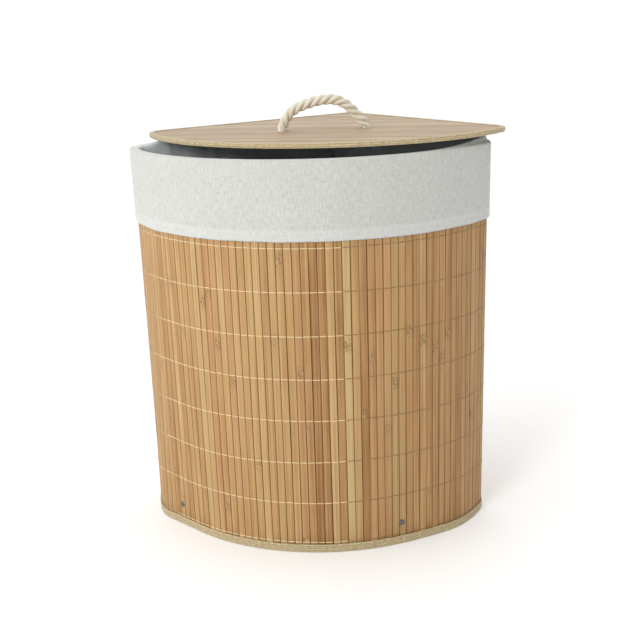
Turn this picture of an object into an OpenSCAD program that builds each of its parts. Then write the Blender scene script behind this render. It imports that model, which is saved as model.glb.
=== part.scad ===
// Corner laundry hamper: a folding wall of upright bamboo slats with a quarter-round plan,
// a loose cloth liner whose cuff is turned down over the rim, a loose base board,
// and a flat loose lid with a rope handle.
// Millimetres. +Z up, origin on the floor, X = 0 is the hamper's plane of symmetry,
// the two straight walls meet at the back (+Y) and the round front faces -Y.

/* [Hamper] */
// Length of each straight back side, over the cuff
side = 370; // [300:1:450]
// Height from the floor to the top of the rim
height = 500; // [350:1:650]
// Radius of the round front, over the cuff
front_r = 257; // [230:1:300]
// Radius where the round front meets each straight side
end_r = 38; // [25:1:60]
// Radius of the back corner
back_r = 15; // [13:1:30]

/* [Bamboo wall] */
// Distance from the cuff's outer face in to the slats' outer faces
wall_inset = 4; // [3.8:0.1:8]
// Width of one bamboo slat
slat_w = 9.2; // [6:0.1:14]
// Gap between neighbouring slats at the backing
slat_gap = 0.8; // [0.4:0.1:2]
// Thickness of one bamboo slat
slat_t = 2.0; // [1.2:0.1:4]
// Thickness of the cloth backing glued behind the slats
backing_t = 0.5; // [0.3:0.1:1.5]
// Height of the lowest row of sewing thread
row_first = 13.5; // [12.5:0.5:30]
// Spacing of the rows of sewing thread
row_step = 54.5; // [30:0.5:90]
// Width of a row of sewing thread
row_w = 1.3; // [0.6:0.1:3]
// Offset of the front fold crease from the middle of the front
crease_shift = 33; // [-60:1:60]

/* [Edges and wires] */
// Height of the binding tape on the lower edge
bind_h = 11; // [8:0.5:20]
// Thickness of the binding tape
bind_t = 0.8; // [0.5:0.1:2]
// Radius of the wire rings in the top and bottom edges
wire_r = 1.4; // [1:0.1:1.5]

/* [Folding support] */
// Radius of the support wire
support_r = 1.5; // [1:0.1:1.5]
// Height of the two rivets above the floor
rivet_z = 29; // [22:1:60]
// Turn of the left rivet from the middle of the front
rivet_left = 44; // [20:1:58]
// Turn of the right rivet from the middle of the front
rivet_right = 31; // [20:1:58]
// Radius of a rivet's head
rivet_r = 4.2; // [3:0.1:6]

/* [Base board] */
// Thickness of the loose base board
board_t = 4; // [2:0.5:10]

/* [Liner] */
// Thickness of the liner cloth
cloth_t = 1.0; // [0.6:0.1:2]
// Drop of the cuff below the rim
cuff_drop = 97; // [50:1:160]
// Height of the turned hem at the cuff's lower edge
hem_h = 12; // [8:1:25]
// Height of the gathered folds above the rim
fold_h = 9.7; // [7:0.1:20]
// Length of a gathered fold on a straight side
fold_len = 50; // [20:1:80]
// Distance of the folds by the back corner from the crossing of the sides
fold_near = 30; // [18:1:80]
// Distance of the left end's fold's far edge from the end's rounding
fold_far = 70; // [55:1:120]

/* [Lid] */
// How much smaller the lid is than the cuff, each side
lid_inset = 2; // [0:0.1:6]
// Overall thickness of the lid
lid_t = 6; // [5:0.1:12]
// How far the lid sits over to the right
lid_x = 20.9; // [-25:0.1:25]
// How far the lid sits over to the back
lid_y = 18.5; // [-25:0.1:25]
// Turn of the lid as it lies
lid_turn = -1.8; // [-8:0.1:8]
// Pitch of the lid's bamboo slats
lid_pitch = 9; // [6:0.5:14]
// Width of the binding tape on the lid's faces
lid_bind_w = 7; // [4:0.5:15]

/* [Rope handle] */
// Diameter of the rope
rope_d = 12; // [8:0.5:16]
// Distance between the two holes
rope_span = 112; // [80:1:160]
// Height of the rope's middle line over the lid
rope_rise = 38; // [30:1:70]
// Turn of the handle on the lid
rope_turn = 17; // [-90:1:90]
// Radius of the knots under the lid
knot_r = 14; // [9:0.1:18]

/* [Hidden] */
$fn = 48;
eps = 0.01;
seat = 0.1; // clearance between two pieces that are glued or sewn together
run = 0.35; // clearance between two pieces that move on each other
back_y = 200; // from the origin back to where the straight sides' lines would cross
// plan geometry, in wall coordinates: u along one straight side, v along the other
mid_c = side - front_r;
end_t = mid_c + sqrt(pow(front_r - end_r, 2) - pow(end_r - mid_c, 2));
end_a = atan2(end_r - mid_c, end_t - mid_c);
// depths in from the cuff's outer face
slat_in = wall_inset + slat_t;
back_out = slat_in + seat;
back_in = back_out + backing_t;
wire_d = back_in + 0.3 + support_r;
bind_in = wire_d + support_r + seat;
bind_in2 = bind_in + 0.6;
// how far a flat slat's corners stand out on the end bend, up to the next twentieth
corner_reach = ceil(20 * (sqrt(pow(end_r - wall_inset, 2) + pow(slat_w / 2, 2)) - end_r + wall_inset)) / 20;
bind_out2 = wall_inset - corner_reach - 0.05;
bind_out = bind_out2 - bind_t;
board_d = bind_in2 + run;
bag_d = bind_in2 + 0.5;
bag_d2 = bag_d + cloth_t;
cuff_d = 0.6;
cuff_d2 = cuff_d + cloth_t;
// heights
rim_under = height - cloth_t;
top_bind_z = rim_under - run;
slat_top = top_bind_z - bind_t - seat;
slat_z = bind_t + seat;
board_z = bind_t + run;
bag_z = board_z + board_t + run;
bag_floor_t = cloth_t + 0.2;
rim_wire_z = slat_top - wire_r - 1.5;
bar_z = rim_wire_z - wire_r - support_r - 0.2;
cuff_z = height - cuff_drop;
top_bind_h = slat_top - bar_z + support_r + 3;
pitch = slat_w + slat_gap;
front_len = (front_r - slat_in) * (45 - end_a) * PI / 180;
end_len = (end_r - slat_in) * (end_a + 90) * PI / 180;
side_len = end_t - back_r;
half_len = front_len + end_len + side_len;
front_n = floor((front_len + abs(crease_shift)) / pitch);
all_n = ceil((half_len + abs(crease_shift)) / pitch);
row_n = floor((slat_top - top_bind_h - row_first) / row_step);
shank_r = 1.6;
// lid
lid_z = height + fold_h + run;
lid_top = lid_z + lid_t;
lid_tape = 0.6;
lid_lining = 0.4;
lid_slat_t = 1.7;
rope_r = rope_d / 2;
hole_r = rope_r + 0.3;
rope_y = -50;
rope_x = 3;
foot_z = rope_r + run;
arch_r = (pow(rope_span / 2, 2) + pow(rope_rise, 2)) / (2 * rope_rise);
foot_x = sqrt(arch_r * arch_r - pow(arch_r - rope_rise + foot_z, 2));
arch_a = atan2(foot_x, arch_r - rope_rise + foot_z);

bamboo = [0.78, 0.66, 0.5];
khaki = [0.78, 0.76, 0.65];
linen = [0.86, 0.86, 0.84];
steel = [0.6, 0.6, 0.62];
black = [0.13, 0.13, 0.14];
cotton = [0.93, 0.89, 0.8];

// ---------- shared geometry ----------

module place()
{
    translate([0, back_y, 0])
    rotate([0, 0, -135])
    children();
}

// the plan outline, d inside the cuff's outer face, in wall coordinates
module outline(d)
{
    union()
    {
        polygon([[back_r, d], [end_t, d], [end_t, end_r], [mid_c, mid_c], [end_r, end_t], [d, end_t], [d, back_r], [back_r, back_r]]);
        sector(mid_c, mid_c, front_r - d, end_a, 90 - end_a);
        sector(end_t, end_r, end_r - d, -90, end_a);
        sector(end_r, end_t, end_r - d, 90 - end_a, 180);
        sector(back_r, back_r, back_r - d, 180, 270);
    }
}

// a slice of a disc of radius r about [x, y], from angle a to angle b; its point reaches a
// hair past the centre, so that neighbouring slices overlap and join
module sector(x, y, r, a, b)
{
    m = (a + b) / 2;
    translate([x, y])
    intersection()
    {
        circle(r);
        polygon([-0.05 * [cos(m), sin(m)], 2 * r * [cos(a), sin(a)], 3 * r * [cos(m), sin(m)], 2 * r * [cos(b), sin(b)]]);
    }
}

module ring(d1, d2, z1, z2)
{
    place()
    translate([0, 0, z1])
    linear_extrude(z2 - z1)
    difference()
    {
        outline(d1);
        outline(d2);
    }
}

module plate(d, z1, z2)
{
    place()
    translate([0, 0, z1])
    linear_extrude(z2 - z1)
    outline(d);
}

// stands children on the line of the slats' inner faces on the left half, a along it from the
// middle of the front, with their +X pointing out
module half_along(a)
{
    if (a < front_len)
    {
        translate([mid_c, mid_c, 0])
        rotate([0, 0, 45 - a / (front_r - slat_in) * 180 / PI])
        translate([front_r - slat_in, 0, 0])
        children();
    }
    else if (a < front_len + end_len)
    {
        translate([end_t, end_r, 0])
        rotate([0, 0, end_a - (a - front_len) / (end_r - slat_in) * 180 / PI])
        translate([end_r - slat_in, 0, 0])
        children();
    }
    else
    {
        translate([end_t - (a - front_len - end_len), slat_in, 0])
        rotate([0, 0, -90])
        children();
    }
}

// one slat at s along the wall
module slat(s)
{
    if (s < 0)
    {
        place()
        half_along(-s)
        slat_box();
    }
    else
    {
        mirror([1, 0, 0])
        place()
        half_along(s)
        slat_box();
    }
}

module slat_box()
{
    translate([0, -slat_w / 2, slat_z])
    cube([slat_t, slat_w, slat_top - slat_z]);
}

// on the round front, a turned right from its middle, at height z, +X out from the curve's centre
module on_front(a, z)
{
    place()
    translate([mid_c, mid_c, z])
    rotate([0, 0, 45 + a])
    children();
}

// a round wire that follows the outline, with a small bead of weld where two bends meet
module wire_loop(d, r, z)
{
    place()
    translate([0, 0, z])
    union()
    {
        straight_wire(d, r);
        mirror([1, -1, 0])
        straight_wire(d, r);
        wire_bend(mid_c, mid_c, front_r - d, end_a, 90 - end_a, r);
        wire_bend(back_r, back_r, back_r - d, 180, 270, r);
    }
}

module straight_wire(d, r)
{
    translate([back_r + 0.04, d, 0])
    rotate([0, 90, 0])
    cylinder(h = end_t - back_r - 0.08, r = r);
    wire_bend(end_t, end_r, end_r - d, -90, end_a, r);
    translate([back_r, d, 0])
    sphere(r + 0.1);
    translate([end_t, d, 0])
    sphere(r + 0.1);
    translate([end_t + (end_r - d) * cos(end_a), end_r + (end_r - d) * sin(end_a), 0])
    sphere(r + 0.1);
}

// a bend of radius bend about [x, y], from angle a to angle b, a hair short at both ends
module wire_bend(x, y, bend, a, b, r)
{
    short = 0.04 / bend * 180 / PI;
    translate([x, y, 0])
    rotate([0, 0, a + short])
    rotate_extrude(angle = b - a - 2 * short)
    translate([bend, 0])
    circle(r);
}

// ---------- bamboo wall ----------

// the slats whose middle lies between a and b along the wall
module slats(a, b)
{
    for (k = [-all_n : all_n])
    {
        s = crease_shift + (k + 0.5) * pitch;
        if (s > a && s < b)
            slat(s);
    }
}

// leaves the last slat's edge clear of the corner tape
wall_end = half_len - slat_w / 2 - seat;

module slats_front()
{
    color(bamboo)
    difference()
    {
        slats(-front_len, front_len);
        on_front(-rivet_left, rivet_z)
        shank_hole();
        on_front(rivet_right, rivet_z)
        shank_hole();
    }
}

module slats_left()
{
    color(bamboo)
    slats(-wall_end, -front_len - eps);
}

module slats_right()
{
    color(bamboo)
    slats(front_len + eps, wall_end);
}

module shank_hole()
{
    translate([front_r - bag_d, 0, 0])
    rotate([0, 90, 0])
    cylinder(h = bag_d, r = shank_r + 0.15);
}

module wall_backing()
{
    color(black)
    difference()
    {
        ring(back_out, back_in, slat_z, slat_top);
        on_front(-rivet_left, rivet_z)
        shank_hole();
        on_front(rivet_right, rivet_z)
        shank_hole();
    }
}

module sewing_thread()
{
    color(cotton)
    for (k = [0 : row_n])
        ring(bind_out2 - 0.55, bind_out2, row_first + k * row_step - row_w / 2, row_first + k * row_step + row_w / 2);
}

// folded tape that joins the two ends of the slat mat at the back corner
module corner_tape()
{
    color(khaki)
    place()
    translate([0, 0, bind_h + 0.3])
    linear_extrude(slat_top - top_bind_h - bind_h - 0.6)
    intersection()
    {
        difference()
        {
            outline(wall_inset + 0.6);
            outline(slat_in);
        }
        square([back_r - 0.3, back_r - 0.3]);
    }
}

// ---------- edges and wires ----------

module top_wire()
{
    color(steel)
    wire_loop(wire_d, wire_r, rim_wire_z);
}

module top_binding()
{
    color(khaki)
    union()
    {
        ring(bind_out, bind_out2, slat_top - top_bind_h, top_bind_z);
        ring(bind_out2 - eps, bind_in + eps, top_bind_z - bind_t, top_bind_z);
        ring(bind_in, bind_in2, slat_top - top_bind_h, top_bind_z);
    }
}

module bottom_wire()
{
    color(steel)
    wire_loop(wire_d, wire_r, bind_t + wire_r + 0.6);
}

module bottom_binding()
{
    color(khaki)
    union()
    {
        ring(bind_out, bind_out2, 0, bind_h);
        ring(bind_out2 - eps, bind_in + eps, 0, bind_t);
        ring(bind_in, bind_in2, 0, bind_h);
    }
}

module bottom_cloth()
{
    color(black)
    plate(bind_in2 + 0.05, 0, bind_t);
}

// ---------- folding support ----------

// domed head outside, shank through the wall, small peened end inside
module rivet()
{
    cap = 1.3 * rivet_r;
    drop = sqrt(cap * cap - rivet_r * rivet_r);
    union()
    {
        translate([front_r - wall_inset + 0.15, 0, 0])
        rotate([0, 90, 0])
        intersection()
        {
            translate([0, 0, -drop])
            sphere(cap);
            cylinder(h = cap, r = rivet_r + 1);
        }
        translate([front_r - bind_in2 + 0.4, 0, 0])
        rotate([0, 90, 0])
        cylinder(h = bind_in2 - wall_inset - 0.2, r = shank_r);
        translate([front_r - bind_in2 + 0.1, 0, 0])
        rotate([0, 90, 0])
        cylinder(h = 0.5, r = shank_r + 1);
    }
}

module rivets()
{
    color(steel)
    {
        on_front(-rivet_left, rivet_z)
        rivet();
        on_front(rivet_right, rivet_z)
        rivet();
    }
}

module washer()
{
    translate([front_r - back_in - 0.65, 0, 0])
    rotate([0, 90, 0])
    difference()
    {
        cylinder(h = 0.5, r = shank_r + 1.7);
        translate([0, 0, -1])
        cylinder(h = 3, r = shank_r + 0.1);
    }
}

module rivet_washers()
{
    color(steel)
    {
        on_front(-rivet_left, rivet_z)
        washer();
        on_front(rivet_right, rivet_z)
        washer();
    }
}

// an eye round the rivet's shank with a wire leg rising from it
module support_leg()
{
    eye_r = shank_r + 2.6;
    translate([front_r - wire_d - 0.9, 0, 0])
    rotate([0, 90, 0])
    difference()
    {
        cylinder(h = 1.8, r = eye_r);
        translate([0, 0, -1])
        cylinder(h = 4, r = shank_r + 0.15);
    }
    translate([front_r - wire_d, 0, eye_r - 0.8])
    cylinder(h = bar_z - rivet_z - eye_r + 0.8, r = support_r);
}

module support_frame()
{
    color(steel)
    union()
    {
        on_front(-rivet_left, rivet_z)
        support_leg();
        on_front(rivet_right, rivet_z)
        support_leg();
        on_front(-rivet_left, bar_z)
        rotate([0, 0, -0.4])
        rotate_extrude(angle = rivet_left + rivet_right + 0.8)
        translate([front_r - wire_d, 0])
        circle(support_r);
    }
}

// ---------- base board ----------

module base_board()
{
    color(black)
    plate(board_d, board_z, board_z + board_t);
}

// ---------- liner ----------

module liner_wall()
{
    color(linen)
    ring(bag_d, bag_d2, bag_z + bag_floor_t, rim_under);
}

module liner_floor()
{
    color(linen)
    plate(bag_d, bag_z, bag_z + bag_floor_t);
}

// the cross-section of a gathered fold standing on the rim, x inwards from its outer edge
module fold_section()
{
    w = bag_d2 - cuff_d - 0.2;
    r = 0.56 * w;
    translate([0.1, 0])
    union()
    {
        translate([0, -cloth_t / 2])
        square([w, fold_h - r + cloth_t / 2]);
        intersection()
        {
            square([w, fold_h + 1]);
            translate([w / 2, fold_h - r])
            circle(r);
        }
    }
}

// a fold that stands on a straight side, from u to u + len along it
module straight_fold(u, len)
{
    translate([u, cuff_d, height])
    rotate([90, 0, 90])
    linear_extrude(len)
    fold_section();
}

// the cloth over the rim, with gathers that stand up at the ends and by the back corner
module liner_rim()
{
    color(linen)
    union()
    {
        ring(cuff_d, bag_d2, rim_under, height);
        place()
        {
            translate([end_r, end_t, height])
            rotate([0, 0, 90 - end_a])
            rotate_extrude(angle = 90 + end_a)
            translate([end_r - bag_d2, 0])
            fold_section();
            straight_fold(end_t - fold_far, fold_len);
            straight_fold(fold_near, fold_len);
            mirror([1, -1, 0])
            straight_fold(fold_near, fold_len);
        }
    }
}

module liner_cuff()
{
    color(linen)
    ring(cuff_d, cuff_d2, cuff_z, rim_under);
}

module liner_hem()
{
    color(linen)
    ring(cuff_d2, cuff_d2 + 0.7 * cloth_t, cuff_z, cuff_z + hem_h);
}

module hem_stitching()
{
    color(cotton)
    ring(cuff_d - 0.4, cuff_d, cuff_z + hem_h - 1.4, cuff_z + hem_h - 0.8);
}

// ---------- lid ----------

module lid_place()
{
    translate([lid_x, lid_y, lid_z])
    rotate([0, 0, lid_turn])
    children();
}

module lid_plate(d, z1, z2)
{
    translate([0, 0, 0])
    plate(lid_inset + d, z1, z2);
}

module rope_place()
{
    translate([rope_x, rope_y, 0])
    rotate([0, 0, rope_turn])
    children();
}

module rope_holes()
{
    rope_place()
    for (side_x = [-1, 1])
        translate([side_x * foot_x, 0, -1])
        cylinder(h = lid_t + 2, r = hole_r);
}

module lid_slats()
{
    n = ceil(side * 0.6 / lid_pitch);
    color(bamboo)
    lid_place()
    difference()
    {
        lid_plate(0.7, lid_t - lid_tape - lid_slat_t, lid_t - lid_tape);
        for (k = [-n : n])
            translate([-side, k * lid_pitch - 0.15, 0])
            cube([2 * side, 0.3, lid_t]);
        rope_holes();
    }
}

module lid_board()
{
    color(bamboo)
    lid_place()
    difference()
    {
        lid_plate(0.6, lid_tape + lid_lining, lid_t - lid_tape - lid_slat_t);
        rope_holes();
    }
}

module lid_lining()
{
    color(black)
    lid_place()
    difference()
    {
        lid_plate(0.6, lid_tape, lid_tape + lid_lining);
        rope_holes();
    }
}

module lid_binding()
{
    color(khaki)
    lid_place()
    difference()
    {
        lid_plate(0, 0, lid_t);
        lid_plate(0.6, lid_tape, lid_t - lid_tape);
        lid_plate(lid_bind_w, -1, lid_t + 1);
    }
}

// a stub of rope in each hole, knotted under the lid
module rope_ends()
{
    color(cotton)
    lid_place()
    rope_place()
    for (side_x = [-1, 1])
        translate([side_x * foot_x, 0, 0])
        union()
        {
            translate([0, 0, -knot_r / 2])
            cylinder(h = lid_t + knot_r / 2, r = rope_r);
            translate([0, 0, -knot_r - 0.05])
            sphere(knot_r);
        }
}

// ---------- rope handle ----------

module rope_handle()
{
    color(cotton)
    lid_place()
    rope_place()
    translate([0, 0, lid_t + rope_rise - arch_r])
    union()
    {
        rotate([90, 0, 0])
        rotate([0, 0, 90 - arch_a])
        rotate_extrude(angle = 2 * arch_a)
        translate([arch_r, 0])
        circle(rope_r);
        for (side_x = [-1, 1])
            translate([side_x * foot_x, 0, arch_r - rope_rise + foot_z])
            sphere(rope_r - 0.1);
    }
}

slats_front();
slats_left();
slats_right();
wall_backing();
sewing_thread();
corner_tape();
top_wire();
top_binding();
bottom_wire();
bottom_binding();
bottom_cloth();
rivets();
rivet_washers();
support_frame();
base_board();
liner_wall();
liner_floor();
liner_rim();
liner_cuff();
liner_hem();
hem_stitching();
lid_slats();
lid_board();
lid_lining();
lid_binding();
rope_ends();
rope_handle();
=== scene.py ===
# %% [markdown]
# # A corner laundry hamper, built round its CAD frame
# The object is a folding wall of upright bamboo slats with a quarter-round plan, a loose cloth
# liner whose cuff is turned down over the rim, and a flat bamboo lid with a rope handle that
# lies a little askew on top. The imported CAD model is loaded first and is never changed: it
# says where everything is. Each visible piece is then a new surface in its CAD solid's place,
# or the CAD solid itself with a better finish. The real wall is a little narrower at its foot
# than the CAD wall, so every new piece is drawn in towards the floor by one and the same rule.

# %% Load the fixed frame
import math

import bmesh
import bpy
import numpy as np
from mathutils import Matrix, Vector


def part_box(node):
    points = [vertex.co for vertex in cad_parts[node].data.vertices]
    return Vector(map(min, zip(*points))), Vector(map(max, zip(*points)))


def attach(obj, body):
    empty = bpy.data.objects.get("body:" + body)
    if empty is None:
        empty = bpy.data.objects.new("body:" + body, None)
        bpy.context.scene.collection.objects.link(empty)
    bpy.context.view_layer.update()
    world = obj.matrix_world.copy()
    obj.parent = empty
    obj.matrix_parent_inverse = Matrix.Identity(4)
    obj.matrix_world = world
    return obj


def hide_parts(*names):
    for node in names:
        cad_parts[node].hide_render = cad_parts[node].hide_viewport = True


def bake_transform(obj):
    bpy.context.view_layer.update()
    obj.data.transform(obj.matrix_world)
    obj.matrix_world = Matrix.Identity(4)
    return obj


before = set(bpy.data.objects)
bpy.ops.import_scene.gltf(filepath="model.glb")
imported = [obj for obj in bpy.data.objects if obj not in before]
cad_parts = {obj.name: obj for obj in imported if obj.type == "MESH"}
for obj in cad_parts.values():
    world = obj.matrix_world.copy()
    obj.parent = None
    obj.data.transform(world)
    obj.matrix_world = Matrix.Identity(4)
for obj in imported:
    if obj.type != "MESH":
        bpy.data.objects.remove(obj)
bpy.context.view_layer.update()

# %% [markdown]
# ## Camera
# The camera is placed by where it looks, how far round and how high it stands, and how far off
# it is. Its three axes are worked out from those angles and written as the columns of its
# matrix, which avoids stacking rotations.

# %% Camera from azimuth, elevation and distance
AIM, DISTANCE = np.array([0.0, 0.015, 0.25]), 1.5803
AZIMUTH, ELEVATION, ROLL = (math.radians(v) for v in (8.83, 15.158, -1.918))
level = np.array([math.cos(AZIMUTH), math.sin(AZIMUTH), 0.0])
ahead = np.array([math.sin(AZIMUTH), -math.cos(AZIMUTH), 0.0])
back = ahead * math.cos(ELEVATION) + np.array([0.0, 0.0, math.sin(ELEVATION)])
upright = np.cross(back, level)
right = math.cos(ROLL) * level + math.sin(ROLL) * upright
up = -math.sin(ROLL) * level + math.cos(ROLL) * upright

camera = bpy.data.objects.new("camera", bpy.data.cameras.new("camera"))
bpy.context.scene.collection.objects.link(camera)
bpy.context.scene.camera = camera
pose = Matrix.Identity(4)
for row in range(3):
    pose[row][0], pose[row][1], pose[row][2] = right[row], up[row], back[row]
    pose[row][3] = AIM[row] + DISTANCE * back[row]
camera.matrix_world = pose
camera.data.sensor_width, camera.data.lens = 36.0, 63.12
camera.data.shift_x, camera.data.shift_y = -0.0004, -0.0059
print("camera stands at", [round(v, 3) for v in camera.matrix_world.translation])

# %% [markdown]
# ## Measures
# The plan is the one the CAD model was drawn with: two straight sides that would cross at the
# back, a round front, and a rounding at each end. "Inset" is the distance in from the cuff's
# outer face, so every layer of the wall is the same curve at another inset.

# %% The hamper's own measures, in metres
SIDE, FRONT_R, END_R, BACK_R, BACK_Y = 0.370, 0.257, 0.038, 0.015, 0.200
HEIGHT, CUFF_DROP = 0.500, 0.097
SLAT_W, SLAT_GAP, SLAT_T, SLAT_IN = 0.0092, 0.0008, 0.0020, 0.0060
CREASE = 0.033
ROW_FIRST, ROW_STEP, ROWS, RIVET_Z = 0.0135, 0.0545, 9, 0.029
LID_X, LID_Y, LID_TURN = 0.0209, 0.0185, math.radians(-1.8)
LID_INSET, LID_T = 0.002, 0.006
BIND_IN, LINER_IN = 0.0105, 0.0116
TAPER = (0.034, 0.012)  # how much narrower the foot is, across and front to back
# The squarer ends of the front's foot: where each is, how far it reaches, how far it is pushed.
FOOT_CORNERS = [((-0.205, -0.100), 0.040, (-0.0064, -0.0095)),
                ((0.195, -0.100), 0.050, (0.0034, -0.0080))]
slat_low, slat_high = (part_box("slats_front")[i].z for i in (0, 1))
lid_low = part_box("lid_binding")[0].z
print("slats stand from", round(slat_low, 4), "to", round(slat_high, 4))
print("the lid lies at", round(lid_low, 4))

# %% The plan as one line
centre = SIDE - FRONT_R
end_u = centre + math.sqrt((FRONT_R - END_R) ** 2 - (END_R - centre) ** 2)
end_angle = math.atan2(END_R - centre, end_u - centre)
lengths = np.array([
    (FRONT_R - SLAT_IN) * (math.pi / 4 - end_angle),
    (END_R - SLAT_IN) * (end_angle + math.pi / 2),
    end_u - BACK_R,
    (BACK_R - SLAT_IN) * math.pi / 4,
])
edges = np.concatenate([[0], np.cumsum(lengths)])
HALF = edges[-1]
# Each part of the right half: radius, turn for each metre run, first angle, centre across and up.
PARTS = np.array([
    (FRONT_R, 1 / (FRONT_R - SLAT_IN), math.pi / 4, centre, centre),
    (END_R, 1 / (END_R - SLAT_IN), end_angle, end_u, END_R),
    (0, 0, -math.pi / 2, end_u, 0),
    (BACK_R, 1 / (BACK_R - SLAT_IN), -math.pi / 2, BACK_R, BACK_R)]).T


def around(s, inset):
    """Point and outward direction on the plan line. s is the distance along the slats' inner
    line from the middle of the front, right positive; it wraps at the back corner. On a bend
    the point is the bend's centre plus (radius - inset) along the turned direction; on a
    straight side it is inset in from the side. The left half is worked out and mirrored."""
    s, inset = np.broadcast_arrays(np.asarray(s, float), np.asarray(inset, float))
    s = (s + HALF) % (2 * HALF) - HALF
    part = np.searchsorted(edges[1:-1], np.abs(s), side="right")
    run = np.abs(s) - edges[part]
    radius, rate, angle, cu, cv = PARTS[:, part]
    angle = angle - run * rate
    cos, sin = np.cos(angle), np.sin(angle)
    u = cu - np.where(part == 2, run, 0) + (radius - inset) * cos
    v = cv + (radius - inset) * sin
    side = np.where(s > 0, -1.0, 1.0) / math.sqrt(2)
    return side * (v - u), BACK_Y - (u + v) / math.sqrt(2), side * (sin - cos), -(cos + sin) / math.sqrt(2)


def stations(step, bend_step):
    """Distances all round the plan line, step apart on the front and the sides and bend_step
    apart on the roundings, from one side of the back corner to the other."""
    pieces = [np.linspace(edges[i], edges[i + 1], max(3, int(lengths[i] / size)) + 1)[1:]
              for i, size in enumerate([step, bend_step, step, bend_step])]
    right_half = np.concatenate([[0.0]] + pieces)
    return np.concatenate([-right_half[:0:-1], right_half[:-1]])


print("the plan line is", round(2 * HALF, 4), "m round")

# %% [markdown]
# ## Turning arrays into meshes
# Every new surface is a grid of points: rows along one direction, columns along the other.
# One helper joins neighbouring points into faces, wraps the grid where it closes on itself,
# and gives each face corner its UV, so that a pattern runs on without a jump at the join.

# %% The draw-in towards the floor
def narrowed(points):
    """Draws points in towards the upright axis, by nothing at the rim and by the shares in
    TAPER at the floor. The foot of the wall is squarer at the two ends of its front, so there
    it is pushed out again, by exp(-(distance / reach)^2) of the most, less with height."""
    low = np.clip(1 - points[..., 2:] / HEIGHT, 0, 1)
    plan = points[..., :2] * (1 - np.array(TAPER) * low)
    for corner, reach, push in FOOT_CORNERS:
        distance = np.linalg.norm(points[..., :2] - corner, axis=-1, keepdims=True)
        plan = plan + np.exp(-(distance / reach) ** 2) * low ** 1.5 * np.array(push)
    return np.concatenate([plan, points[..., 2:]], -1)

# %% Grid to mesh
def join_grid(n, m, closed_n, closed_m, flip=False):
    """Index of the four corners of each face of an n by m grid, and the same corners before
    they wrap, which is what the UVs use."""
    i, j = (part.ravel() for part in np.indices((n - 1 + closed_n, m - 1 + closed_m)))
    corners = [(i, j), (i + 1, j), (i + 1, j + 1), (i, j + 1)]
    if flip:
        corners = corners[::-1]
    wrapped = np.stack([(a % n) * m + (b % m) for a, b in corners], -1)
    return wrapped, corners


def new_mesh(name, points, faces, corner_uv=None, values=None, smooth=True):
    """A mesh object at the origin. faces is a list of index lists, corner_uv has one pair for
    every face corner in order, and values is a dict of one number per point."""
    mesh = bpy.data.meshes.new(name)
    mesh.from_pydata(narrowed(points.reshape(-1, 3)).tolist(), [], faces)
    if corner_uv is not None:
        layer = mesh.uv_layers.new(name="cut")
        layer.data.foreach_set("uv", np.ascontiguousarray(corner_uv, dtype=np.float32).ravel())
    for key, per_point in (values or {}).items():
        attribute = mesh.attributes.new(key, "FLOAT", "POINT")
        attribute.data.foreach_set("value", np.ascontiguousarray(per_point, dtype=np.float32).ravel())
    mesh.polygons.foreach_set("use_smooth", np.full(len(mesh.polygons), smooth))
    mesh.update()
    piece = bpy.data.objects.new(name, mesh)
    bpy.context.scene.collection.objects.link(piece)
    return piece


def grid_piece(name, points, closed_n=False, closed_m=False, uv=None, values=None,
               flip=False, caps=False):
    """One object from points shaped (n, m, 3), or from a stack shaped (k, n, m, 3) of such
    grids. uv is a pair of arrays with one more row or column where the grid closes. caps
    fills the first and last row of a grid that closes along m."""
    stack = points[None] if points.ndim == 3 else points
    k, n, m, _ = stack.shape
    quads, corners = join_grid(n, m, closed_n, closed_m, flip)
    faces = (quads[None] + np.arange(k)[:, None, None] * n * m).reshape(-1, 4).tolist()
    corner_uv = None
    if uv is not None:
        shape = (k, n + closed_n, m + closed_m)
        grids = [np.broadcast_to(part, shape) for part in uv]
        corner_uv = np.stack([np.stack([grid[:, a, b] for a, b in corners], -1) for grid in grids], -1)
        corner_uv = corner_uv.reshape(-1, 2)
    if caps:
        first = np.arange(m)[None] + np.arange(k)[:, None] * n * m
        last = first + (n - 1) * m
        ends = [first if flip else first[:, ::-1], last[:, ::-1] if flip else last]
        faces += ends[0].tolist() + ends[1].tolist()
        if corner_uv is not None:
            corner_uv = np.concatenate([corner_uv, np.zeros((2 * k * m, 2))])
    return new_mesh(name, stack, faces, corner_uv, values)

# %% Helpers for a finished mesh
def faces_outward(piece, weld=None):
    """Turns every face of a closed shell to point out of it, after joining points that lie
    closer together than weld."""
    work = bmesh.new()
    work.from_mesh(piece.data)
    if weld:
        bmesh.ops.remove_doubles(work, verts=work.verts, dist=weld)
    bmesh.ops.recalc_face_normals(work, faces=work.faces)
    work.to_mesh(piece.data)
    work.free()


def move_points(piece, change):
    """Puts every point of a piece where change(points) says."""
    co = np.empty(len(piece.data.vertices) * 3, np.float32)
    piece.data.vertices.foreach_get("co", co)
    moved = change(co.reshape(-1, 3)).astype(np.float32)
    piece.data.vertices.foreach_set("co", moved.ravel())
    piece.data.update()


def thicken(piece, thickness, offset=0.0):
    """Gives a sheet its thickness with a Solidify modifier."""
    solidify = piece.modifiers.new("thickness", "SOLIDIFY")
    solidify.thickness, solidify.offset = thickness, offset

# %% [markdown]
# ## Soft unevenness
# Cloth and split bamboo are never quite even. A sum of a few sine waves with random phases
# gives a smooth wobble; counting whole waves round the hamper makes it meet itself again.

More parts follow.
